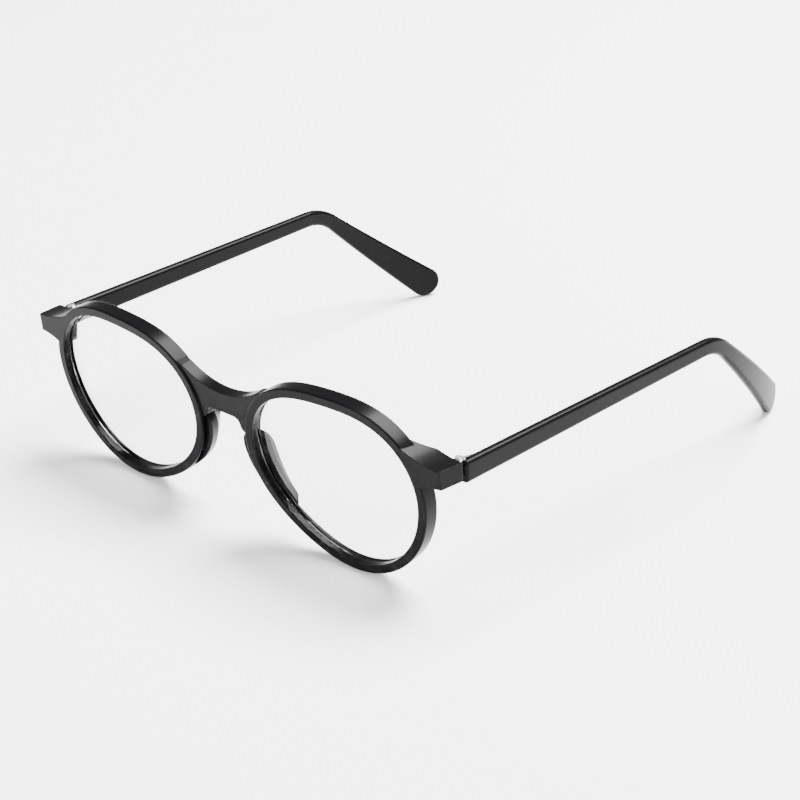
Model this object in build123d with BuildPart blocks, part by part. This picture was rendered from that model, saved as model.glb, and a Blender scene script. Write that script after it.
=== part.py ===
from build123d import *
from math import atan2, cos, hypot, pi, radians, sin, tan
import os

# Round black acetate spectacles, temples open.  Millimetres, +Z up, front facing -Y,
# temple tips towards +Y, wearer's left on +X.  The origin is the bottom centre of the
# bounding box: the rims and the temple tips rest on z = 0.

# ---- front ------------------------------------------------------------------------
FRONT_Y = -68.1         # front face of the rims, at the lens datum
LENS_Z = 22.76          # height of the datum through the lenses
LEAN = 7.1              # degrees the top of the front leans forward
WRAP = 2.2              # degrees each half of the front is swept back
RIM_DEPTH = 4.0         # front to back
RIM_WIDTH = 2.25        # rim section seen from the front
RIM_EDGE = 0.35         # rounding of the rim's long edges
LENS_CX = 34.7          # centre of each rim outline from the middle
ROUND_R = 24.4          # mean radius of the rim outline
OVAL = 2.38             # how far the outline is wider than tall
PANTO = 0.86            # fuller at the two upper corners and the chin
SKEW = -0.39            # fuller at the upper nose side and lower temple side
NOSE_PULL = -0.47       # stretched towards the nose
OUTLINE_STEPS = 24      # stations the closed outline passes through

# ---- lenses -----------------------------------------------------------------------
BASE_RADIUS = 300.0     # shallow front curve of the lens
LENS_THICK = 1.6
LENS_SETBACK = 0.9      # lens front pole behind the rim face
GROOVE_DEPTH = 0.7      # groove cut into the rim's inner wall
GROOVE_PLAY = 0.1       # play of the lens in the groove, all round

# ---- bridge -----------------------------------------------------------------------
BRIDGE_RECESS = 0.9     # bridge face behind the rim face
BRIDGE_TOP = 11.5
BRIDGE_UNDER = 6.35
BRIDGE_FOOT = 3.0       # lower end of the keyhole's straight sides
BRIDGE_SHOULDER = 15.0  # height at the end of the top arc
KEYHOLE_HALF = 5.5      # half width of the keyhole under the bridge
KEYHOLE_ROUND = 1.9
BRIDGE_REACH = 12.0     # end of the top arc
BRIDGE_BURIED = (15.0, 16.0)    # where the top runs into the rim

# ---- lugs and hinge ---------------------------------------------------------------
LUG_X = 66.7            # outer side at the back
LUG_TOP = 12.5          # at the outer end, above the datum
LUG_UNDER = 8.0
LUG_BACK = 7.9          # back face behind FRONT_Y
LUG_FLARE = 1.0         # the side face flares outward by this much to the back
HINGE_X = 64.2
HINGE_Y = 9.6           # hinge axis behind FRONT_Y
BARREL_R = 1.1
BARREL_LOW = 30.75      # underside of the lowest knuckle
FRONT_KNUCKLE = 1.05    # height of each front knuckle
TEMPLE_KNUCKLE = 1.5
WASHER = 0.14
WASHER_PLAY = 0.02
SCREW_R = 0.5
SCREW_PLAY = 0.04
HEAD_R = 0.95
HEAD_THICK = 0.5
NOTCH_R = 1.5           # relief in the temple end round the knuckles
LEAF_THICK = 0.8

# ---- temples ----------------------------------------------------------------------
TEMPLE_START = 9.1      # front end behind FRONT_Y
TEMPLE_THICK = 2.4
TEMPLE_TALL = 5.4       # at the hinge
TEMPLE_SLIM = 4.1       # just before the ear bend
TEMPLE_Z = 32.1         # centre line at the hinge
BEND_Y = 94.0           # start of the ear bend behind FRONT_Y
BEND_Z = 32.7
BEND_R = 15.0
DROP_ANGLE = 40.0       # degrees below level after the bend
TIP_R = 4.1             # the rounded paddle tip
END_ROUND = 1.2         # lower corner of the temple's front end
EDGE = 0.9              # rounding of the long edges
TIP_TUCK = 10.4         # the tip curves inward by this much
SPLAY = 0.9             # the temple spreads outward by this much at the bend
WIRE_R = 0.6            # core wire

FRONT = Plane(
    origin=(0, FRONT_Y, LENS_Z),
    x_dir=(1, 0, 0),
    z_dir=(0, -cos(radians(LEAN)), -sin(radians(LEAN))),
)
LEFT = Plane(
    origin=(0, FRONT_Y, LENS_Z),
    x_dir=(cos(radians(WRAP)), sin(radians(WRAP)), 0),
    z_dir=(
        sin(radians(WRAP)) * cos(radians(LEAN)),
        -cos(radians(WRAP)) * cos(radians(LEAN)),
        -sin(radians(LEAN)),
    ),
)
NUDGE = 0.01


def panto(angle, offset=0.0):
    """A point on the left rim outline, moved out along its normal by the offset."""
    radius = ROUND_R + OVAL * cos(2 * angle) + PANTO * sin(3 * angle)
    radius += SKEW * sin(2 * angle) + NOSE_PULL * cos(3 * angle)
    slope = -2 * OVAL * sin(2 * angle) + 3 * PANTO * cos(3 * angle)
    slope += 2 * SKEW * cos(2 * angle) - 3 * NOSE_PULL * sin(3 * angle)
    across = slope * cos(angle) - radius * sin(angle)
    along = slope * sin(angle) + radius * cos(angle)
    length = hypot(across, along)
    return (
        LENS_CX + radius * cos(angle) + offset * along / length,
        radius * sin(angle) - offset * across / length,
    )


def outline(offset):
    """Points of the whole closed rim outline."""
    turn = [2 * pi * step / OUTLINE_STEPS for step in range(OUTLINE_STEPS)]
    return [panto(angle, offset) for angle in turn]


def crescent(start, end, base, bulge, steps=8):
    """Points along the nose side of the outline, bulging between two pointed ends."""
    points = []
    for step in range(steps + 1):
        along = step / steps
        angle = radians(start + (end - start) * along)
        points.append(panto(angle, base + bulge * sin(pi * along**PAD_SKEW)))
    return points


def lens_blank(edge, play):
    """The lens form: the outline cut from a curved shell, grown by the play."""
    depth = LENS_SETBACK + BASE_RADIUS
    centre = LEFT.from_local_coords((LENS_CX, 0, -depth))
    with BuildPart(mode=Mode.PRIVATE) as blank:
        with BuildSketch(LEFT.offset(2)):
            with BuildLine():
                Spline(*outline(edge), periodic=True)
            make_face()
        extrude(amount=-14)
        with Locations(centre):
            Sphere(BASE_RADIUS + play, mode=Mode.INTERSECT)
            Sphere(BASE_RADIUS - LENS_THICK - play, mode=Mode.SUBTRACT)
    return blank.part


# ---- lenses: clear, one curved blank each, its edge held in the rim groove ------------
LENS_EDGE = GROOVE_DEPTH - GROOVE_PLAY - RIM_WIDTH
with BuildPart() as lens_left:
    add(lens_blank(LENS_EDGE, 0.0))

with BuildPart() as lens_right:
    add(mirror(lens_left.part, about=Plane.YZ))

# ---- front leaf of the hinge: two knuckles on a plate sunk into the lug ----------------
HINGE = (HINGE_X, FRONT_Y + HINGE_Y)
STACK_LOW = BARREL_LOW + FRONT_KNUCKLE + WASHER + 2 * WASHER_PLAY
STACK_HIGH = STACK_LOW + TEMPLE_KNUCKLE + WASHER + 2 * WASHER_PLAY
BARREL_HIGH = STACK_HIGH + FRONT_KNUCKLE
LEAF_IN = 4.2           # how far the plate runs into the lug

with BuildPart() as front_hinge_leaf_left:
    for floor_z in (BARREL_LOW, STACK_HIGH):
        with BuildSketch(Plane.XY.offset(floor_z)):
            with Locations(HINGE):
                Circle(BARREL_R)
            with Locations((HINGE_X, FRONT_Y + LUG_BACK)):
                Rectangle(LEAF_THICK, HINGE_Y - LUG_BACK, align=(Align.CENTER, Align.MIN))
        extrude(amount=FRONT_KNUCKLE)
    with BuildSketch(Plane.XY.offset(BARREL_LOW)):
        with Locations((HINGE_X, FRONT_Y + LUG_BACK + NUDGE)):
            Rectangle(LEAF_THICK, LEAF_IN, align=(Align.CENTER, Align.MAX))
    extrude(amount=BARREL_HIGH - BARREL_LOW)
    with BuildSketch(Plane.XY.offset(BARREL_LOW)):
        with Locations(HINGE):
            Circle(SCREW_R)
    extrude(amount=BARREL_HIGH - BARREL_LOW, mode=Mode.SUBTRACT)

with BuildPart() as front_hinge_leaf_right:
    add(mirror(front_hinge_leaf_left.part, about=Plane.YZ))

# ---- hinge screw: slotted round head over a plain shank ---------------------------------
with BuildPart() as hinge_screw_left:
    with BuildSketch(Plane.XY.offset(BARREL_LOW)):
        with Locations(HINGE):
            Circle(SCREW_R)
    extrude(amount=BARREL_HIGH - BARREL_LOW)
    with BuildSketch(Plane.XY.offset(BARREL_HIGH)):
        with Locations(HINGE):
            Circle(HEAD_R)
    extrude(amount=HEAD_THICK)
    chamfer(faces().sort_by(Axis.Z)[-1].edges(), 0.15)
    with BuildSketch(Plane.XY.offset(BARREL_HIGH + HEAD_THICK)):
        with Locations(HINGE):
            Rectangle(0.25, 2 * HEAD_R)
    extrude(amount=-0.22, mode=Mode.SUBTRACT)

with BuildPart() as hinge_screw_right:
    add(mirror(hinge_screw_left.part, about=Plane.YZ))

# ---- temple leaf: middle knuckle and a tapered arm sunk into the temple -------------------
TEMPLE_INNER = LUG_X - TEMPLE_THICK
ARM_END = 16.8
ARM_PROUD = 0.35
ARM_LOW = BARREL_LOW + 0.3
ARM_HIGH = BARREL_HIGH - 0.1

with BuildPart() as temple_hinge_leaf_left:
    with BuildSketch(Plane.XY.offset(STACK_LOW)):
        with Locations(HINGE):
            Circle(BARREL_R)
        with Locations((TEMPLE_INNER - ARM_PROUD, FRONT_Y + HINGE_Y)):
            Rectangle(LEAF_THICK, 3.0, align=(Align.MIN, Align.MIN))
    extrude(amount=TEMPLE_KNUCKLE)
    with BuildSketch(Plane.YZ.offset(TEMPLE_INNER - ARM_PROUD)):
        with BuildLine():
            Polyline(
                (FRONT_Y + HINGE_Y + NOTCH_R, ARM_LOW),
                (FRONT_Y + HINGE_Y + NOTCH_R, ARM_HIGH),
                (FRONT_Y + ARM_END, ARM_HIGH - 1.0),
                (FRONT_Y + ARM_END, ARM_LOW + 1.0),
                close=True,
            )
        make_face()
    extrude(amount=LEAF_THICK)
    with BuildSketch(Plane.XY.offset(STACK_LOW)):
        with Locations(HINGE):
            Circle(SCREW_R + SCREW_PLAY)
    extrude(amount=TEMPLE_KNUCKLE, mode=Mode.SUBTRACT)

with BuildPart() as temple_hinge_leaf_right:
    add(mirror(temple_hinge_leaf_left.part, about=Plane.YZ))

# ---- hinge washers: a thin ring above and below the middle knuckle ------------------------
with BuildPart() as hinge_washers_left:
    for floor_z in (STACK_LOW - WASHER_PLAY - WASHER, STACK_LOW + TEMPLE_KNUCKLE + WASHER_PLAY):
        with BuildSketch(Plane.XY.offset(floor_z)):
            with Locations(HINGE):
                Circle(BARREL_R + 0.05)
                Circle(SCREW_R + SCREW_PLAY, mode=Mode.SUBTRACT)
        extrude(amount=WASHER)

with BuildPart() as hinge_washers_right:
    add(mirror(hinge_washers_left.part, about=Plane.YZ))

# ---- front frame: two rims, the keyhole bridge and the lugs in one acetate piece ----------
LUG_ROOT_TOP = (49.5, 18.9)
LUG_WAIST = (57.7, 14.1)
LUG_BELLY = (62.8, 7.5)
LUG_ROOT_UNDER = (58.8, 6.0)
LUG_INNER_X = 59.5      # inner end of the lug's thick back
LUG_RUN_IN = 54.0       # where the thick back starts behind the rim
LUG_SHALLOW = RIM_DEPTH + 0.1

with BuildPart() as front_frame:
    with BuildSketch(LEFT):
        with BuildLine():
            Spline(*outline(0.0), periodic=True)
        make_face()
    extrude(amount=-RIM_DEPTH)
    fillet(edges(), RIM_EDGE)
    with BuildSketch(LEFT):
        with BuildLine():
            ThreePointArc(LUG_ROOT_TOP, LUG_WAIST, (LUG_X, LUG_TOP))
            Line((LUG_X, LUG_TOP), (LUG_X, LUG_UNDER))
            ThreePointArc((LUG_X, LUG_UNDER), LUG_BELLY, LUG_ROOT_UNDER)
            Line(LUG_ROOT_UNDER, LUG_ROOT_TOP)
        make_face()
    extrude(amount=LUG_BACK + 4, dir=(0, 1, 0))
    with BuildSketch(Plane.XY.offset(LENS_Z)):
        with BuildLine():
            Polyline(
                (LUG_X - LUG_FLARE, FRONT_Y - 4),
                (LUG_X, FRONT_Y + LUG_BACK),
                (LUG_INNER_X, FRONT_Y + LUG_BACK),
                (LUG_RUN_IN, FRONT_Y + LUG_SHALLOW),
                (LUG_ROOT_TOP[0] - 4, FRONT_Y + LUG_SHALLOW),
                (LUG_ROOT_TOP[0] - 4, FRONT_Y + 20),
                (LUG_X + 5, FRONT_Y + 20),
                (LUG_X + 5, FRONT_Y - 4),
                close=True,
            )
        make_face()
    extrude(amount=30, mode=Mode.SUBTRACT)
    add(front_hinge_leaf_left.part, mode=Mode.SUBTRACT)
    mirror(about=Plane.YZ)
    with BuildSketch(FRONT.offset(-BRIDGE_RECESS)):
        with BuildLine():
            FilletPolyline(
                (-BRIDGE_REACH, BRIDGE_FOOT),
                (-KEYHOLE_HALF, BRIDGE_FOOT),
                (-KEYHOLE_HALF, BRIDGE_UNDER),
                (KEYHOLE_HALF, BRIDGE_UNDER),
                (KEYHOLE_HALF, BRIDGE_FOOT),
                (BRIDGE_REACH, BRIDGE_FOOT),
                radius=KEYHOLE_ROUND,
            )
            Polyline((BRIDGE_REACH, BRIDGE_FOOT), BRIDGE_BURIED, (BRIDGE_REACH, BRIDGE_SHOULDER))
            ThreePointArc(
                (BRIDGE_REACH, BRIDGE_SHOULDER),
                (0, BRIDGE_TOP),
                (-BRIDGE_REACH, BRIDGE_SHOULDER),
            )
            Polyline(
                (-BRIDGE_REACH, BRIDGE_SHOULDER),
                (-BRIDGE_BURIED[0], BRIDGE_BURIED[1]),
                (-BRIDGE_REACH, BRIDGE_FOOT),
            )
        make_face()
    extrude(amount=BRIDGE_RECESS - RIM_DEPTH)
    with BuildSketch(LEFT.offset(2)):
        with BuildLine():
            Spline(*outline(-RIM_WIDTH), periodic=True)
        make_face()
    opening = extrude(amount=-16, mode=Mode.SUBTRACT)
    mirror(opening, about=Plane.YZ, mode=Mode.SUBTRACT)
    groove = lens_blank(GROOVE_DEPTH - RIM_WIDTH, GROOVE_PLAY)
    add(groove, mode=Mode.SUBTRACT)
    add(mirror(groove, about=Plane.YZ, mode=Mode.PRIVATE), mode=Mode.SUBTRACT)

# ---- nose pads: built-up acetate wedges behind the nose side of each rim --------------------
PAD_SKEW = 0.45         # below 1 puts the fullest part nearer the top
PAD_SECTIONS = (        # depth, first and last angle round the rim, ends, nose and lens side
    (BRIDGE_RECESS + 0.3, 172, 221, -0.5, 2.6, -0.1),
    (RIM_DEPTH, 173, 223, -0.6, 1.7, -1.0),
    (5.5, 175, 220, -0.8, 0.4, -1.6),
    (6.8, 178, 216, -1.0, -0.5, -2.0),
)
with BuildPart() as nose_pad_left:
    for depth, start, end, base, nose_side, lens_side in PAD_SECTIONS:
        with BuildSketch(LEFT.offset(-depth)):
            with BuildLine():
                Spline(*crescent(start, end, base, nose_side))
                Spline(*crescent(start, end, base, lens_side))
            make_face()
    loft(ruled=True)
    add(front_frame.part, mode=Mode.SUBTRACT)
    add(groove, mode=Mode.SUBTRACT)

with BuildPart() as nose_pad_right:
    add(mirror(nose_pad_left.part, about=Plane.YZ))

# ---- temple side profile: level arm, ear bend, drop flaring to a round tip --------------------
DROP = radians(DROP_ANGLE)
PITCH = atan2(TEMPLE_Z - BEND_Z, BEND_Y - TEMPLE_START)
ARC_Y = FRONT_Y + BEND_Y - BEND_R * sin(PITCH)
ARC_Z = BEND_Z - BEND_R * cos(PITCH)
MID_TURN = (PITCH + DROP) / 2
TIP_RUN = (ARC_Z + BEND_R * cos(DROP) - TIP_R) / sin(DROP)
TIP_Y = ARC_Y + BEND_R * sin(DROP) + TIP_RUN * cos(DROP)
TIP_X = LUG_X + SPLAY - TIP_TUCK


def bend_point(turn, radius):
    """A point on the ear bend, turned down from the vertical by the angle."""
    return (ARC_Y + radius * sin(turn), ARC_Z + radius * cos(turn))


def tip_point(turn, radius=TIP_R):
    """A point on the rounded tip, turned down from the vertical by the angle."""
    return (TIP_Y + radius * sin(turn), TIP_R + radius * cos(turn))


# ---- core wire: steel stiffener buried in the temple -----------------------------------------
WIRE_X = LUG_X - TEMPLE_THICK / 2
WIRE_START = 20.0
WIRE_MID_Y = (ARC_Y + BEND_R * sin(DROP) + TIP_Y - TIP_R) / 2
WIRE_MID_Z = (ARC_Z + BEND_R * cos(DROP) + TIP_R + TIP_R * tan(DROP)) / 2
TUCK_START = FRONT_Y + BEND_Y
TUCK_RUN = TIP_Y + 2 * TIP_R - TUCK_START
SPLAY_SLOPE = SPLAY / BEND_Y


def tuck(y):
    """How far the temple has curved inward at a distance behind the ear bend's start."""
    run = y - TUCK_START
    return (TIP_TUCK + SPLAY_SLOPE * TUCK_RUN) * (run / TUCK_RUN) ** 2 - SPLAY_SLOPE * run


def wire_point(y, z):
    """A point along the wire, in the middle of the temple's thickness."""
    return (WIRE_X + SPLAY - tuck(y), y, z)


with BuildPart() as core_wire_left:
    with BuildLine() as wire_path:
        straight = Line(
            (WIRE_X, FRONT_Y + WIRE_START, TEMPLE_Z - (WIRE_START - TEMPLE_START) * sin(PITCH)),
            (WIRE_X + SPLAY, FRONT_Y + BEND_Y, BEND_Z),
        )
        Spline(
            straight @ 1,
            wire_point(*bend_point(MID_TURN, BEND_R)),
            wire_point(*bend_point(DROP, BEND_R)),
            wire_point(WIRE_MID_Y, WIRE_MID_Z),
            wire_point(TIP_Y - TIP_R, TIP_R + TIP_R * tan(DROP)),
        )
    with BuildSketch(Plane(origin=straight @ 0, z_dir=straight % 0)):
        Circle(WIRE_R)
    sweep(path=wire_path.line)

with BuildPart() as core_wire_right:
    add(mirror(core_wire_left.part, about=Plane.YZ))

# ---- temples: black acetate, cut from flat stock, bent at the ear, edges tumbled round --------
HALF_TALL = TEMPLE_TALL / 2
HALF_SLIM = TEMPLE_SLIM / 2
with BuildPart() as temple_left:
    with BuildSketch(Plane.YZ.offset(LUG_X + 4)):
        with BuildLine():
            front_top = (FRONT_Y + TEMPLE_START, TEMPLE_Z + HALF_TALL)
            front_low = (FRONT_Y + TEMPLE_START, TEMPLE_Z - HALF_TALL)
            Line(front_top, bend_point(PITCH, BEND_R + HALF_SLIM))
            ThreePointArc(
                bend_point(PITCH, BEND_R + HALF_SLIM),
                bend_point(MID_TURN, BEND_R + HALF_SLIM),
                bend_point(DROP, BEND_R + HALF_SLIM),
            )
            Line(bend_point(DROP, BEND_R + HALF_SLIM), tip_point(DROP))
            ThreePointArc(tip_point(DROP), tip_point(DROP + pi / 2), tip_point(DROP + pi))
            Line(tip_point(DROP + pi), bend_point(DROP, BEND_R - HALF_SLIM))
            ThreePointArc(
                bend_point(DROP, BEND_R - HALF_SLIM),
                bend_point(MID_TURN, BEND_R - HALF_SLIM),
                bend_point(PITCH, BEND_R - HALF_SLIM),
            )
            Line(bend_point(PITCH, BEND_R - HALF_SLIM), front_low)
            Line(front_low, front_top)
        make_face()
        fillet(vertices().sort_by(Axis.Y)[:1], END_ROUND)
    extrude(amount=-20)
    with BuildSketch(Plane.XY):
        with BuildLine():
            outer = Line((LUG_X, FRONT_Y), (LUG_X + SPLAY, FRONT_Y + BEND_Y))
            TangentArc(outer @ 1, (TIP_X, TIP_Y + 2 * TIP_R), tangent=outer % 1)
            inner = Line(
                (LUG_X - TEMPLE_THICK, FRONT_Y),
                (LUG_X + SPLAY - TEMPLE_THICK, FRONT_Y + BEND_Y),
            )
            TangentArc(inner @ 1, (TIP_X - TEMPLE_THICK, TIP_Y + 2 * TIP_R), tangent=inner % 1)
            Line((LUG_X, FRONT_Y), (LUG_X - TEMPLE_THICK, FRONT_Y))
            Line((TIP_X, TIP_Y + 2 * TIP_R), (TIP_X - TEMPLE_THICK, TIP_Y + 2 * TIP_R))
        make_face()
    extrude(amount=60, mode=Mode.INTERSECT)
    fillet(edges(), EDGE)
    with BuildSketch(Plane.XY.offset(BARREL_LOW - 0.4)):
        with Locations(HINGE):
            Circle(NOTCH_R)
        with Locations((HINGE_X, FRONT_Y)):
            Rectangle(NOTCH_R, HINGE_Y + NOTCH_R, align=(Align.MIN, Align.MIN))
    extrude(amount=10, mode=Mode.SUBTRACT)
    add(temple_hinge_leaf_left.part, mode=Mode.SUBTRACT)
    add(core_wire_left.part, mode=Mode.SUBTRACT)

with BuildPart() as temple_right:
    add(mirror(temple_left.part, about=Plane.YZ))

# ---- one STEP file per piece -------------------------------------------------------------------
NODES = {
    "front_frame": front_frame,
    "nose_pad_left": nose_pad_left,
    "nose_pad_right": nose_pad_right,
    "lens_left": lens_left,
    "lens_right": lens_right,
    "front_hinge_leaf_left": front_hinge_leaf_left,
    "front_hinge_leaf_right": front_hinge_leaf_right,
    "temple_hinge_leaf_left": temple_hinge_leaf_left,
    "temple_hinge_leaf_right": temple_hinge_leaf_right,
    "hinge_screw_left": hinge_screw_left,
    "hinge_screw_right": hinge_screw_right,
    "hinge_washers_left": hinge_washers_left,
    "hinge_washers_right": hinge_washers_right,
    "core_wire_left": core_wire_left,
    "core_wire_right": core_wire_right,
    "temple_left": temple_left,
    "temple_right": temple_right,
}
os.makedirs("parts", exist_ok=True)
for label, piece in NODES.items():
    piece.part.label = label
    export_step(piece.part, f"parts/{label}.step")
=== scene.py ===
import math
import bpy
from mathutils import Matrix, Vector

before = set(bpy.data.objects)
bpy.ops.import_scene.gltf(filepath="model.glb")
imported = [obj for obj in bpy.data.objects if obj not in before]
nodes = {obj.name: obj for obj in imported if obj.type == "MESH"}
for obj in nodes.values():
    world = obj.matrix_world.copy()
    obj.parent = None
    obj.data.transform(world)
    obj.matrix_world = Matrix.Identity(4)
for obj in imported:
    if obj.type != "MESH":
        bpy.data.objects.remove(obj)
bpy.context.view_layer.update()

# ---- camera ---------------------------------------------------------------------------
# A long lens, high on the wearer's left of the front, aimed between the two temples.
CAMERA_AT = Vector((0.3665, -0.3970, 0.2616))
CAMERA_TURN = math.radians(43.336)
CAMERA_DOWN = math.radians(25.126)
CAMERA_ROLL = math.radians(-1.061)
level = Vector((math.cos(CAMERA_TURN), math.sin(CAMERA_TURN), 0.0))
back = Vector((
    math.sin(CAMERA_TURN) * math.cos(CAMERA_DOWN),
    -math.cos(CAMERA_TURN) * math.cos(CAMERA_DOWN),
    math.sin(CAMERA_DOWN),
))
lift = back.cross(level)
right = level * math.cos(CAMERA_ROLL) + lift * math.sin(CAMERA_ROLL)
up = back.cross(right)
camera_data = bpy.data.cameras.new("camera")
camera_data.lens = 106.49
camera_data.sensor_width = 36.0
camera_data.clip_start = 0.01
camera_data.clip_end = 50.0
camera = bpy.data.objects.new("camera", camera_data)
bpy.context.scene.collection.objects.link(camera)
turn = Matrix((right, up, back)).transposed().to_4x4()
camera.matrix_world = Matrix.Translation(CAMERA_AT) @ turn
bpy.context.scene.camera = camera


# ---- floor and light --------------------------------------------------------------------
# A seamless pale table top in an even surround, with one large soft box above and a little
# behind and two weaker ones in front and at the wearer's left, which draw the grey bands.
def surface_material(name, color, roughness):
    """A new node material and its shader, with the plain values set on the shader."""
    material = bpy.data.materials.new(name)
    material.use_nodes = True
    shader = material.node_tree.nodes["Principled BSDF"]
    shader.inputs["Base Color"].default_value = (*color, 1.0)
    shader.inputs["Roughness"].default_value = roughness
    return material, shader


def mesh_object(name, points, faces):
    """A mesh object made from its points and faces."""
    mesh = bpy.data.meshes.new(name)
    mesh.from_pydata(points, [], faces)
    mesh.update()
    made = bpy.data.objects.new(name, mesh)
    bpy.context.scene.collection.objects.link(made)
    return made


FLOOR_HALF = 4.0
FLOOR_DROP = 0.0002     # clear of the rims and tips, which rest on z = 0
floor = mesh_object(
    "studio_floor",
    [(x, y, -FLOOR_DROP) for x, y in (
        (-FLOOR_HALF, -FLOOR_HALF), (FLOOR_HALF, -FLOOR_HALF),
        (FLOOR_HALF, FLOOR_HALF), (-FLOOR_HALF, FLOOR_HALF),
    )],
    [(0, 1, 2, 3)],
)
floor_material, floor_shader = surface_material("floor_paper", (0.93, 0.93, 0.93), 0.9)
floor_shader.inputs["Specular IOR Level"].default_value = 0.0
floor.data.materials.append(floor_material)

world = bpy.data.worlds.new("studio_surround")
world.use_nodes = True
world.node_tree.nodes["Background"].inputs["Color"].default_value = (1.0, 1.0, 1.0, 1.0)
world.node_tree.nodes["Background"].inputs["Strength"].default_value = 0.5
bpy.context.scene.world = world


def soft_box(name, place, target, size, power):
    """A square area light aimed at a point."""
    light = bpy.data.lights.new(name, "AREA")
    light.shape = "RECTANGLE"
    light.size, light.size_y = size
    light.energy = power
    lamp = bpy.data.objects.new(name, light)
    bpy.context.scene.collection.objects.link(lamp)
    lamp.location = place
    aim = Vector(target) - Vector(place)
    lamp.rotation_euler = aim.to_track_quat("-Z", "Y").to_euler()


soft_box("box_above", (0.1, 0.5, 1.1), (0.0, 0.0, 0.0), (0.8, 0.8), 95.0)
soft_box("box_front", (-0.2, -1.0, 0.45), (0.0, 0.0, 0.02), (0.7, 0.5), 14.0)
soft_box("box_side", (1.0, 0.2, 0.5), (0.0, 0.0, 0.02), (0.6, 0.5), 12.0)

# ---- acetate: front, nose pads and temples ----------------------------------------------
# Black cellulose acetate, cut from sheet, tumbled and polished. The faint waves left by
# tumbling, hair-fine polishing lines and a soft break on every machined edge are shader work.
ACETATE = ("front_frame", "nose_pad_left", "nose_pad_right", "temple_left", "temple_right")


def new_group(name, inputs, outputs):
    """An empty node group with named inputs and outputs; gives the tree and its end nodes."""
    tree = bpy.data.node_groups.new(name, "ShaderNodeTree")
    for label, kind in inputs:
        tree.interface.new_socket(name=label, in_out="INPUT", socket_type=kind)
    for label, kind in outputs:
        tree.interface.new_socket(name=label, in_out="OUTPUT", socket_type=kind)
    return tree, tree.nodes.new("NodeGroupInput"), tree.nodes.new("NodeGroupOutput")


def noise(tree, vector, scale, detail=3.0):
    """A noise texture laid over the object's own coordinates."""
    node = tree.nodes.new("ShaderNodeTexNoise")
    node.inputs["Scale"].default_value = scale
    node.inputs["Detail"].default_value = detail
    tree.links.new(vector, node.inputs["Vector"])
    return node.outputs["Fac"]


def remap(tree, value, low, high):
    """A 0 to 1 value brought into a range, whose ends are numbers or group inputs."""
    node = tree.nodes.new("ShaderNodeMapRange")
    for socket, end in (("To Min", low), ("To Max", high)):
        if isinstance(end, float):
            node.inputs[socket].default_value = end
        else:
            tree.links.new(end, node.inputs[socket])
    tree.links.new(value, node.inputs["Value"])
    return node.outputs["Result"]


def bump(tree, height, strength, distance, normal=None):
    """A bump in metres, laid over an earlier normal."""
    node = tree.nodes.new("ShaderNodeBump")
    node.inputs["Strength"].default_value = strength
    node.inputs["Distance"].default_value = distance
    tree.links.new(height, node.inputs["Height"])
    if normal is not None:
        tree.links.new(normal, node.inputs["Normal"])
    return node.outputs["Normal"]


def stretched(tree, scale):
    """Object coordinates, stretched along the axes by the scale."""
    place = tree.nodes.new("ShaderNodeTexCoord")
    node = tree.nodes.new("ShaderNodeMapping")
    node.inputs["Scale"].default_value = scale
    tree.links.new(place.outputs["Object"], node.inputs["Vector"])
    return node.outputs["Vector"]


polish, polish_in, polish_out = new_group("acetate_polish", (
    ("Roughness Low", "NodeSocketFloat"),
    ("Roughness High", "NodeSocketFloat"),
), (
    ("Color", "NodeSocketColor"),
    ("Roughness", "NodeSocketFloat"),
    ("Normal", "NodeSocketVector"),
))
plain = stretched(polish, (1.0, 1.0, 1.0))
along = stretched(polish, (1.0, 0.06, 1.0))
clouds = noise(polish, plain, 160.0, 4.0)
tone = polish.nodes.new("ShaderNodeMix")
tone.data_type = "RGBA"
tone.inputs[6].default_value = (0.0016, 0.0016, 0.0018, 1.0)
tone.inputs[7].default_value = (0.0028, 0.0028, 0.0031, 1.0)
polish.links.new(clouds, tone.inputs["Factor"])
polish.links.new(tone.outputs[2], polish_out.inputs["Color"])
gloss = remap(
    polish, noise(polish, plain, 420.0, 5.0),
    polish_in.outputs["Roughness Low"], polish_in.outputs["Roughness High"],
)
polish.links.new(gloss, polish_out.inputs["Roughness"])
soft_edge = polish.nodes.new("ShaderNodeBevel")
soft_edge.samples = 10
soft_edge.inputs["Radius"].default_value = 0.00035
waves = bump(polish, noise(polish, plain, 120.0, 1.0), 0.12, 0.00006, soft_edge.outputs["Normal"])
lines = bump(polish, noise(polish, along, 3200.0, 2.0), 0.04, 0.000006, waves)
polish.links.new(lines, polish_out.inputs["Normal"])


def use_group(material, group, low, high):
    """A node group put into a material, with that material's own range of roughness."""
    node = material.node_tree.nodes.new("ShaderNodeGroup")
    node.node_tree = group
    node.inputs["Roughness Low"].default_value = low
    node.inputs["Roughness High"].default_value = high
    return node


def dress(names, material):
    """Gives CAD nodes a material in place of the one they came with."""
    for name in names:
        for slot in nodes[name].material_slots:
            slot.material = material


acetate, acetate_shader = surface_material("acetate_black", (0.01, 0.01, 0.011), 0.25)
acetate_shader.inputs["IOR"].default_value = 1.49
acetate_shader.inputs["Specular IOR Level"].default_value = 0.045
acetate_shader.inputs["Coat Weight"].default_value = 0.01
acetate_shader.inputs["Coat Roughness"].default_value = 0.18
polish_node = use_group(acetate, polish, 0.22, 0.30)
acetate.node_tree.links.new(polish_node.outputs["Color"], acetate_shader.inputs["Base Color"])
for socket in ("Roughness", "Normal"):
    acetate.node_tree.links.new(polish_node.outputs[socket], acetate_shader.inputs[socket])
dress(ACETATE, acetate)

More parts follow.
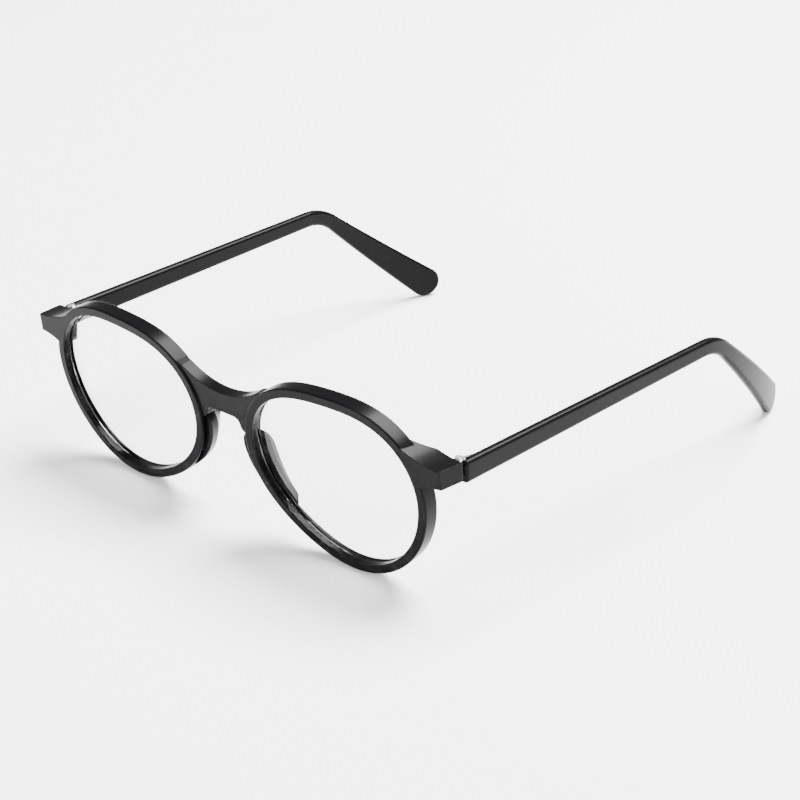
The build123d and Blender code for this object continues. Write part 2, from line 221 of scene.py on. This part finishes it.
# ---- lenses -----------------------------------------------------------------------------
# Clear uncoated resin blanks, slightly domed, sprung into the groove of each rim. The tint
# is very light and cool, and faint smears change the gloss a little.
lens, lens_shader = surface_material("lens_clear", (0.985, 0.99, 0.99), 0.0)
lens_shader.inputs["Transmission Weight"].default_value = 1.0
lens_shader.inputs["IOR"].default_value = 1.5
tree = lens.node_tree
smear = stretched(tree, (1.0, 1.0, 0.5))
tree.links.new(remap(tree, noise(tree, smear, 45.0, 4.0), 0.0, 0.03), lens_shader.inputs["Roughness"])
dress(("lens_left", "lens_right"), lens)

# ---- hinges and core wires --------------------------------------------------------------
# Nickel-plated steel leaves with turned knuckles, held by slotted screws, with thin
# copper-toned washers between the knuckles and a drawn steel wire sunk in each temple. The
# grain runs along the arms.
plating, plating_in, plating_out = new_group("plated_metal", (
    ("Roughness Low", "NodeSocketFloat"),
    ("Roughness High", "NodeSocketFloat"),
), (
    ("Roughness", "NodeSocketFloat"),
    ("Normal", "NodeSocketVector"),
))
grain = noise(plating, stretched(plating, (1.0, 0.05, 1.0)), 9000.0, 3.0)
gloss = remap(
    plating, grain, plating_in.outputs["Roughness Low"], plating_in.outputs["Roughness High"]
)
plating.links.new(gloss, plating_out.inputs["Roughness"])
metal_edge = plating.nodes.new("ShaderNodeBevel")
metal_edge.inputs["Radius"].default_value = 0.00008
plating.links.new(
    bump(plating, grain, 0.2, 0.00001, metal_edge.outputs["Normal"]), plating_out.inputs["Normal"]
)


def plated(name, color):
    """A plated metal in the given colour."""
    material, shader = surface_material(name, color, 0.25)
    shader.inputs["Metallic"].default_value = 1.0
    node = use_group(material, plating, 0.18, 0.38)
    material.node_tree.links.new(node.outputs["Roughness"], shader.inputs["Roughness"])
    material.node_tree.links.new(node.outputs["Normal"], shader.inputs["Normal"])
    return material


dress(
    ("front_hinge_leaf_left", "front_hinge_leaf_right", "temple_hinge_leaf_left",
     "temple_hinge_leaf_right", "hinge_screw_left", "hinge_screw_right"),
    plated("hinge_steel", (0.66, 0.65, 0.62)),
)
dress(("hinge_washers_left", "hinge_washers_right"), plated("washer_brass", (0.72, 0.45, 0.25)))
dress(("core_wire_left", "core_wire_right"), plated("wire_steel", (0.5, 0.5, 0.5)))
